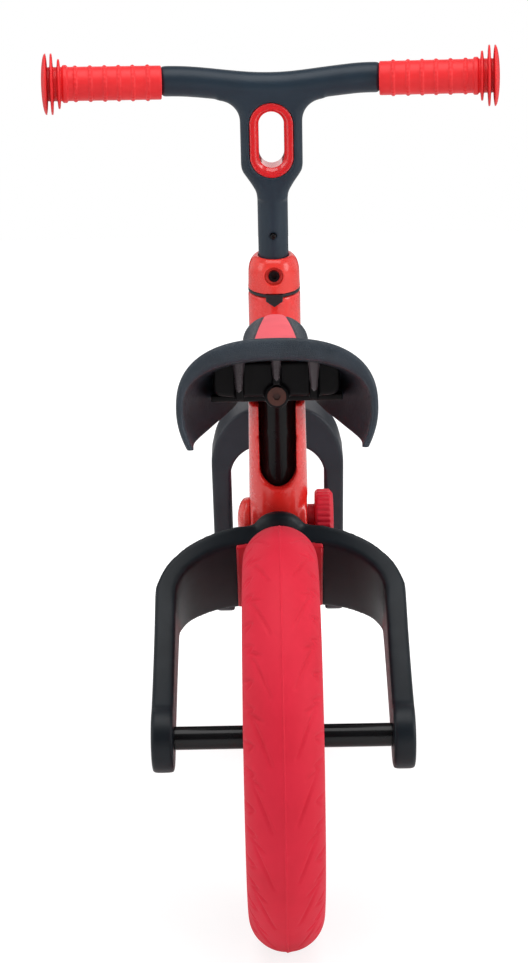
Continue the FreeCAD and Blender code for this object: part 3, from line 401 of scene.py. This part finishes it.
for end in ("front", "rear"):
    wheel = end + "_wheel"
    fitted(tyre(end + "_foam_tyre", end + "_tyre"), wheel, "foam_tyre", foam, end + "_tyre")
    rim = moulded(end + "_moulded_rim", (end + "_rim",), 0.0014, 5)
    fitted(rim, wheel, "wheel_plastic", wheel_black, end + "_rim")
    dressed(steel, end + "_wheel_bearings", end + "_axle_bolts")
    dressed(axle_black, end + "_axle", end + "_axle_spacers")

# ---- rear fork and its guard ----
# A deep U of dark navy nylon round the rear wheel, moulded with soft edges and a satin grain. A red liner is
# screwed up inside its crown, above the tyre.

fork_navy = plastic("rear_fork_nylon", (0.0060, 0.0105, 0.0155), (0.0045, 0.0080, 0.0120), 0.42, 1500.0,
                    0.00016, 0.0, 0.28)


def neck_dome():
    """The rounded boss behind the pivot, an ellipsoid tilted with the fork. With a climb and a turn, across
    is half width x cos(climb) x cos(turn), along the fork is half length x cos(climb) x sin(turn), and square
    to the fork is height x sin(climb)."""
    pivot = next(j for j in frame["record"]["behaviour"]["joints"] if j["name"] == "rear_fork_swing")
    set_back, set_down = 0.0335, 0.0023
    middle = np.array([0.0, pivot["pos_m"][1] - set_back, pivot["pos_m"][2] - set_down])
    half_width, half_length, height = 0.0195, 0.0100, 0.0170
    tilt = math.radians(40)
    turn = np.linspace(0, 2 * math.pi, 72, endpoint=False)[None, :]
    climb = np.linspace(-math.pi / 2, math.pi / 2, 40)[:, None]
    across = half_width * np.cos(climb) * np.cos(turn)
    along = half_length * np.cos(climb) * np.sin(turn)
    square = np.broadcast_to(height * np.sin(climb), across.shape)
    points = np.stack([across, along * math.cos(tilt) - square * math.sin(tilt),
                       along * math.sin(tilt) + square * math.cos(tilt)], axis=-1)
    return skin("fork_neck_dome", points + middle, closed=False, lids=False)


rear_fork = moulded("rear_fork_moulding", ("rear_fork",), 0.0012, 36, neck_dome())
fitted(rear_fork, "rear_fork", "rear_fork_plastic", fork_navy, "rear_fork")
liner_red = plastic("guard_plastic_red", (0.62, 0.016, 0.032), (0.56, 0.012, 0.026), 0.35, 900.0, 0.00008)
liner = moulded("wheel_guard_liner", ("wheel_guard",), 0.0009, 5)
fitted(liner, "rear_fork", "guard_plastic", liner_red, "wheel_guard")
dressed(steel, "guard_screws")

# ---- pivot ----
# A steel bolt joins the rear fork to the frame. A ribbed hand knob on the right tightens it against the domed
# cap nut on the left.

knob_red = plastic("knob_plastic_red", (0.74, 0.016, 0.040), (0.66, 0.013, 0.032), 0.34, 900.0, 0.00008)
knob = moulded("pivot_hand_knob", ("pivot_knob",), 0.00045, 3)
fitted(knob, "pivot_knob", "knob_plastic", knob_red, "pivot_knob")
cap_red = plastic("cap_plastic_red", (0.88, 0.046, 0.034), (0.82, 0.038, 0.030), 0.25, 700.0, 0.00005, 0.4)
cap = moulded("pivot_cap_nut", ("pivot_cap",), 0.0006, 5)
fitted(cap, "frame", "collar_plastic", cap_red, "pivot_cap")
dressed(steel, "pivot_bolt")

# ---- front fork and steering ----
# A deep arch of navy nylon over the front wheel, carried by a steel steerer in two plastic bushings. A thin
# dark ring with a pointed tab closes the head tube, and the domed red collar clamps the handlebar's stem.

arch_navy = plastic("front_fork_nylon", (0.015, 0.019, 0.028), (0.012, 0.015, 0.023), 0.38, 1500.0,
                    0.00016, 0.0, 0.35)
front_fork = moulded("front_fork_moulding", ("front_fork",), 0.0011, 30)
fitted(front_fork, "steering", "front_fork_plastic", arch_navy, "front_fork")
black_steel = plastic("black_steel", (0.004, 0.004, 0.0045), (0.006, 0.006, 0.007), 0.22, 600.0,
                      0.00003, 0.0, 0.2)
dressed(black_steel, "steerer_tube", "collar_screw")
bushing_grey = plastic("bushing_nylon", (0.16, 0.16, 0.165), (0.13, 0.13, 0.135), 0.45)
dressed(bushing_grey, "upper_headset_bushing", "lower_headset_bushing")
ring_black = plastic("headset_ring_black", (0.012, 0.012, 0.015), (0.016, 0.016, 0.019), 0.4)
headset_ring = moulded("headset_ring_moulding", ("headset_ring",), 0.0005, 4)
fitted(headset_ring, "frame", "black_plastic", ring_black, "headset_ring")
collar = moulded("handlebar_clamp", ("handlebar_collar",), 0.0006, 7)
fitted(collar, "steering", "collar_plastic", cap_red, "handlebar_collar")

# ---- handlebar ----
# The T-shaped bar is moulded over the steel stem tube, so the two look like one. A glossy red insert lines
# the slot in its middle, and a snap button in the stem locks its height.

bar_navy = plastic("handlebar_navy", (0.015, 0.029, 0.046), (0.012, 0.024, 0.039), 0.4, 1800.0, 0.00012)
bar = moulded("t_bar_moulding", ("t_bar", "stem_tube"), 0.001, 22)
fitted(bar, "handlebar", "bar_plastic", bar_navy, "t_bar", "stem_tube")
insert_red = plastic("insert_gloss_red", (0.76, 0.020, 0.022), (0.70, 0.016, 0.020), 0.15, 300.0,
                     0.00002, 0.8)
insert = moulded("t_bar_ring_insert", ("t_bar_ring",), 0.0006, 5)
fitted(insert, "handlebar", "ring_plastic", insert_red, "t_bar_ring")
dressed(black_steel, "stem_button")
dressed(steel, "stem_button_spring")

# ---- grips ----
# Soft red rubber sleeves, pushed over the ends of the bar: six faintly notched ring ridges,
# then a collar and two thin round discs that guard the hands.


def grip(name, node, side):
    """A sleeve turned about the bar's end: radius as a function of the distance out along it, with a bell
    curve for each ridge and disc, a wave round each ridge, and an ellipse for the dome that ends it."""
    low, high = (np.array(corner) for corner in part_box(node))
    length, sleeve, disc_radius = 0.1025, 0.0144, 0.0258
    ridge_height, ridge_width = 0.0009, 0.0015
    collar_place, small_disc_place, large_disc_place = 0.0822, 0.0874, 0.0935
    collar_height, small_disc_height, disc_width = 0.0016, 0.0066, 0.0013
    end_disc_place, dome_place = 0.0970, 0.0985
    sweep = math.radians(5)
    out = np.array([side * math.cos(sweep), -math.sin(sweep), 0.0])
    up = np.array([0.0, 0.0, 1.0])
    back = np.cross(up, out)
    middle = (low + high) / 2
    tip_x = side * max(abs(low[0]), abs(high[0]))
    start = np.array([tip_x, middle[1] - length / 2 * math.sin(sweep), middle[2] + 0.0012]) - out * length
    reach = np.concatenate([np.linspace(0.0, 0.0799, 260), np.linspace(0.08, length - 0.00002, 200)])
    places = (0.0117, 0.0244, 0.0364, 0.0483, 0.0606, 0.0733)
    ridge = sum(np.exp(-((reach - place) / ridge_width) ** 4) for place in places)
    collar = collar_height * np.exp(-((reach - collar_place) / 0.0022) ** 6)
    small_disc = small_disc_height * np.exp(-((reach - small_disc_place) / disc_width) ** 6)
    large_disc = (disc_radius - sleeve) * np.exp(-((reach - large_disc_place) / disc_width) ** 6)
    last = np.clip((reach - end_disc_place) / 0.0011, 0.0, 1.0) ** 0.5 * (disc_radius - sleeve)
    past_end = np.clip(reach - dome_place, 0.0, 1.0)
    dome = np.sqrt(np.clip(1 - (past_end / (length - dome_place)) ** 2, 0.0, 1.0))
    radius = (sleeve + ridge_height * ridge + collar + small_disc + large_disc + last) * dome
    radius = radius * (0.96 + 0.04 * np.clip(reach / 0.0008, 0.0, 1.0))
    spin = np.linspace(0, 2 * math.pi, 144, endpoint=False)
    reach, spin = np.meshgrid(reach, spin, indexing="ij")
    lozenge = 0.00018 * ridge[:, None] * np.cos(spin * 24)
    radius = radius[:, None] + lozenge
    spoke = radius[..., None] * (np.cos(spin)[..., None] * up + np.sin(spin)[..., None] * back)
    points = start + reach[..., None] * out + spoke
    return skin(name, points, closed=False)


rubber = plastic("grip_rubber_red", (0.86, 0.026, 0.030), (0.80, 0.021, 0.026), 0.42, 1900.0, 0.00010)
for name, side in (("left", -1), ("right", 1)):
    piece = grip(name + "_ribbed_grip", name + "_grip", side)
    fitted(piece, "handlebar", "grip_rubber", rubber, name + "_grip")

# ---- saddle ----
# A long drop-sided hood of navy polyurethane with a leather-like grain, thickest at its tail, over a black
# carrier. A soft coral pad is let into its top inside a narrow groove.

tail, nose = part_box("saddle_shell")[0][1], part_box("saddle_shell")[1][1]
tail_edge = 0.0035
nose_round = 0.010
hood_length = nose - tail
pad_tail, pad_nose = 0.105, 0.972


def hood_shape(place):
    """Half width, top, middle height and skirt's lower edge at a share of the way from tail to nose, each a
    smooth curve through its values at six places."""
    places = np.array([0.0, 0.17, 0.36, 0.53, 0.78, 1.0])
    values = np.array([[0.071, 0.070, 0.055, 0.037, 0.029, 0.026],
                       [0.4382, 0.4315, 0.4255, 0.4262, 0.4345, 0.4398],
                       [0.388, 0.386, 0.389, 0.394, 0.405, 0.420],
                       [0.3600, 0.361, 0.368, 0.379, 0.394, 0.411]])
    step = np.clip(np.searchsorted(places, place, side="right") - 1, 0, 4)
    before, after = np.maximum(step - 1, 0), np.minimum(step + 2, 5)
    span = places[step + 1] - places[step]
    t = (place - places[step]) / span
    shape = []
    for row in values:
        leave = (row[step + 1] - row[before]) / (places[step + 1] - places[before]) * span
        arrive = (row[after] - row[step]) / (places[after] - places[step]) * span
        bend = (2 * t ** 3 - 3 * t ** 2 + 1) * row[step] + (3 * t ** 2 - 2 * t ** 3) * row[step + 1]
        shape.append(bend + (t ** 3 - 2 * t ** 2 + t) * leave + (t ** 3 - t ** 2) * arrive)
    return shape


def hood_outline(share, half_width, top, middle, bottom, power):
    """Across the hood, from the left skirt's edge (share -1) over the top (0) to the right's (1): a
    flattened ellipse down to the middle height, then a skirt that turns in a little."""
    side = np.sign(share)
    over = np.clip(np.abs(share) / 0.66, 0, 1) * math.pi / 2
    under = np.clip((np.abs(share) - 0.66) / 0.34, 0, 1)
    x = half_width * np.sin(over) ** power - 0.1 * half_width * under ** 2
    z = middle + (top - middle) * np.cos(over) ** power - (middle - bottom) * under
    return side * x, z


def pad_half(place):
    """Half the pad's width: full over the back two thirds, then narrowing to the nose."""
    return 0.0178 - 0.0092 * np.clip((place - 0.52) / 0.45, 0, 1) ** 1.4


def hood():
    """Rings from tail to nose. Each ring runs over the outside from skirt to skirt, round the edge, and back
    along the inside; at the tail the wall closes in a half round, and at the nose the rings close up."""
    close = np.linspace(0, math.pi / 2, 9)
    lead = tail_edge / hood_length * (1 - np.sin(close[::-1]))
    end = 1 - nose_round / hood_length
    places = np.concatenate([lead, np.linspace(lead[-1], end, 170)[1:], end + (1 - end) * np.sin(close[1:])])
    shrink = np.concatenate([1 - np.cos(close[::-1]), np.zeros(169), 1 - np.cos(close[1:])])
    at_tail = places < 0.1
    half_width, top, middle, bottom = (value[:, None] for value in hood_shape(np.clip(places, 0, 1)))
    place = places[:, None]
    power = 0.8 + 0.2 * place
    samples = 201
    even = np.linspace(-1, 1, samples)
    outer_share = np.sign(even) * np.abs(even) ** 1.15
    inner_share = outer_share[::-1]
    outer = hood_outline(outer_share[None, :], half_width, top, middle, bottom, power)
    tail_roof, tail_wall = 0.0150, 0.0052
    thinning = np.clip(place * 3, 0, 1)
    roof = tail_roof - 0.004 * thinning
    wall = tail_wall - 0.0017 * thinning
    inner = hood_outline(inner_share[None, :], half_width - wall, top - roof, middle, bottom, power)
    gap = np.abs(outer[0]) - pad_half(place)
    ends = np.clip((place - 0.10) / 0.01, 0, 1) * np.clip((0.975 - place) / 0.01, 0, 1)
    upper = (np.abs(outer_share) < 0.5)[None, :]
    trench_depth, trench_width = 0.0016, 0.0010
    trench = trench_depth * np.exp(-(gap / trench_width) ** 2) * ends * upper
    x = np.concatenate([outer[0], inner[0]], axis=1)
    z = np.concatenate([outer[1] - trench, inner[1]], axis=1)
    core_x, core_z = hood_outline(np.concatenate([outer_share, inner_share])[None, :], half_width - wall / 2,
                                  top - roof / 2, middle, bottom, power)
    pinch = shrink[:, None] * at_tail[:, None]
    x = x + (core_x - x) * pinch
    z = z + (core_z - z) * pinch
    point = shrink[:, None] * ~at_tail[:, None]
    x = x * (1 - point)
    z = z + (middle + 0.3 * (top - middle) - z) * point
    y = np.repeat(tail + place * hood_length, 2 * samples, axis=1)
    y[:, samples:] = y[:, samples:] - 0.005 * point
    return skin("saddle_hood", np.stack([x, y, z], axis=-1), closed=False, lids=False)


def pad():
    """A lens-shaped strip let into the hood: its top stands a little above the hood's outline and rolls down
    into the groove on both sides, and its underside lies inside the hood's wall."""
    places = np.linspace(pad_tail, pad_nose, 170)[:, None]
    half_width, top, middle, bottom = (value[:, None] for value in hood_shape(places[:, 0]))
    around = np.linspace(0, 2 * math.pi, 96, endpoint=False)[None, :]
    reach = np.minimum((places - pad_tail) / 0.02, (pad_nose - places) / 0.03)
    ending = np.sqrt(1 - (1 - np.clip(reach, 0, 1)) ** 2)
    oval = np.sign(np.cos(around)) * np.abs(np.cos(around)) ** 0.5
    x = (pad_half(places) - 0.0005) * (0.55 + 0.45 * ending) * oval
    power = 0.8 + 0.2 * places
    share = np.clip(np.abs(x) / half_width, 0, 0.999) ** (1 / power)
    surface = middle + (top - middle) * np.sqrt(1 - share ** 2) ** power
    lens = np.sign(np.sin(around)) * np.abs(np.sin(around)) ** 0.6
    puff = np.where(lens > 0, 0.0009, 0.0030) * lens * (0.15 + 0.85 * ending)
    z = surface - 0.0004 + puff
    y = np.broadcast_to(tail + places * hood_length, x.shape)
    return skin("saddle_soft_pad", np.stack([x, y, z], axis=-1), closed=False)


leather = Finish("saddle_grained_skin")
leather.shader.inputs["Specular IOR Level"].default_value = 0.4
cells = leather.add("TexVoronoi", {"feature": "DISTANCE_TO_EDGE"}, Vector=leather.place, Scale=620.0)
creases = cells.fade(0.0, 0.12)
dust = leather.noise(60.0, 3.0).fade(0.35, 0.7)
leather.put(Base_Color=leather.blend(dust, (0.030, 0.042, 0.058), (0.022, 0.032, 0.045)))
leather.put(Roughness=(1.0 - creases) * 0.2 + leather.noise(300.0) * 0.12 + 0.33)
leather.relief(creases + leather.noise(900.0) * 0.8, 0.8, 0.0004)
fitted(hood(), "saddle", "saddle_skin", leather, "saddle_shell")

coral = Finish("saddle_pad_foam", Sheen_Weight=0.1, Sheen_Roughness=0.5)
coral.shader.inputs["Specular IOR Level"].default_value = 0.25
weave = coral.noise(1700.0, 3.0, 0.65)
fading = coral.noise(45.0).fade(0.3, 0.7)
coral.put(Base_Color=coral.blend(fading, (0.84, 0.085, 0.115), (0.78, 0.070, 0.098)))
coral.put(Roughness=(weave * 0.2) + 0.6)
coral.relief(weave, 0.5, 0.00015)
soft_pad = fitted(pad(), "saddle", "saddle_pad", coral, "saddle_pad")


def fins():
    """Three upright ribs on the carrier's back, tapering down to rounded feet. At each level the section is a
    flattened oval: across = half width x cos(turn) to the power 0.6, and out of the wall = depth x sin(turn),
    where the half width grows with the height above the foot. The middle rib stops above the bolt."""
    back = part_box("saddle_carrier")[0][1] - 0.0015
    roof, rounding, depth = 0.424, 0.002, 0.004
    around = np.linspace(0, 2 * math.pi, 40, endpoint=False)[None, :]
    oval = np.sign(np.cos(around)) * np.abs(np.cos(around)) ** 0.6
    joined = bmesh.new()
    for middle, foot in ((-0.0272, 0.3955), (0.0, 0.4035), (0.0272, 0.3955)):
        toe = foot + rounding * (1 - np.cos(np.linspace(0, math.pi / 2, 8)))
        level = np.concatenate([toe, np.linspace(foot + rounding, roof, 22)[1:]])[:, None]
        foot_round = np.sqrt(np.clip((level - foot) / rounding, 0.02, 1))
        wide = (0.0022 + 0.0034 * (level - foot) / 0.03) * foot_round
        x, y, z = np.broadcast_arrays(middle + wide * oval, back + depth * np.sin(around), level)
        fin = skin("fin", np.stack([x, y, z], axis=-1), closed=False)
        joined.from_mesh(fin.data)
        bpy.data.objects.remove(fin)
    mesh = bpy.data.meshes.new("carrier_fins")
    joined.to_mesh(mesh)
    joined.free()
    piece = bpy.data.objects.new("carrier_fins", mesh)
    bpy.context.scene.collection.objects.link(piece)
    return piece


def back_wall():
    """A slab behind the fins, up to the hood's roof: a squared oval, half width x cos(turn) and half height x
    sin(turn), both to the power 0.3, carried from back to front with its rims drawn in."""
    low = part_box("saddle_carrier")[0][1] + 0.006
    half_width, half_height, middle_height = 0.046, 0.0125, 0.4035
    depth = np.array([0.0, 0.0008, 0.0032, 0.004])[:, None]
    inset = np.array([0.0012, 0.0, 0.0, 0.0012])[:, None]
    around = np.linspace(0, 2 * math.pi, 96, endpoint=False)[None, :]
    x = (half_width - inset) * np.sign(np.cos(around)) * np.abs(np.cos(around)) ** 0.3
    z = middle_height + (half_height - inset) * np.sign(np.sin(around)) * np.abs(np.sin(around)) ** 0.3
    return skin("back_wall", np.stack([x, np.broadcast_to(low + depth, x.shape), z], axis=-1), closed=False)


carrier_black = plastic("carrier_black", (0.004, 0.0035, 0.0045), (0.006, 0.005, 0.006), 0.35, 900.0,
                        0.00004, 0.0, 0.2)
carrier = moulded("saddle_carrier_moulding", ("saddle_carrier",), 0.0008, 4, back_wall())
fitted(carrier, "saddle", "carrier_plastic", carrier_black, "saddle_carrier")
# The fins are the carrier's own black plastic. Their grey is a painted highlight: a lighter, glossier copy
# standing for the light their rear faces catch.
fin_painted_highlight = plastic("carrier_fin_painted_highlight", (0.12, 0.10, 0.11), (0.08, 0.065, 0.072), 0.25, 900.0, 0.00005, 0.3)
fitted(fins(), "saddle", "carrier_plastic", fin_painted_highlight)
dressed(black_steel, "seat_post")
bolt_brown = plastic("burnished_bolt", (0.12, 0.035, 0.022), (0.08, 0.024, 0.016), 0.35, 900.0, 0.00004, 0.3)
dressed(bolt_brown, "saddle_bolt")
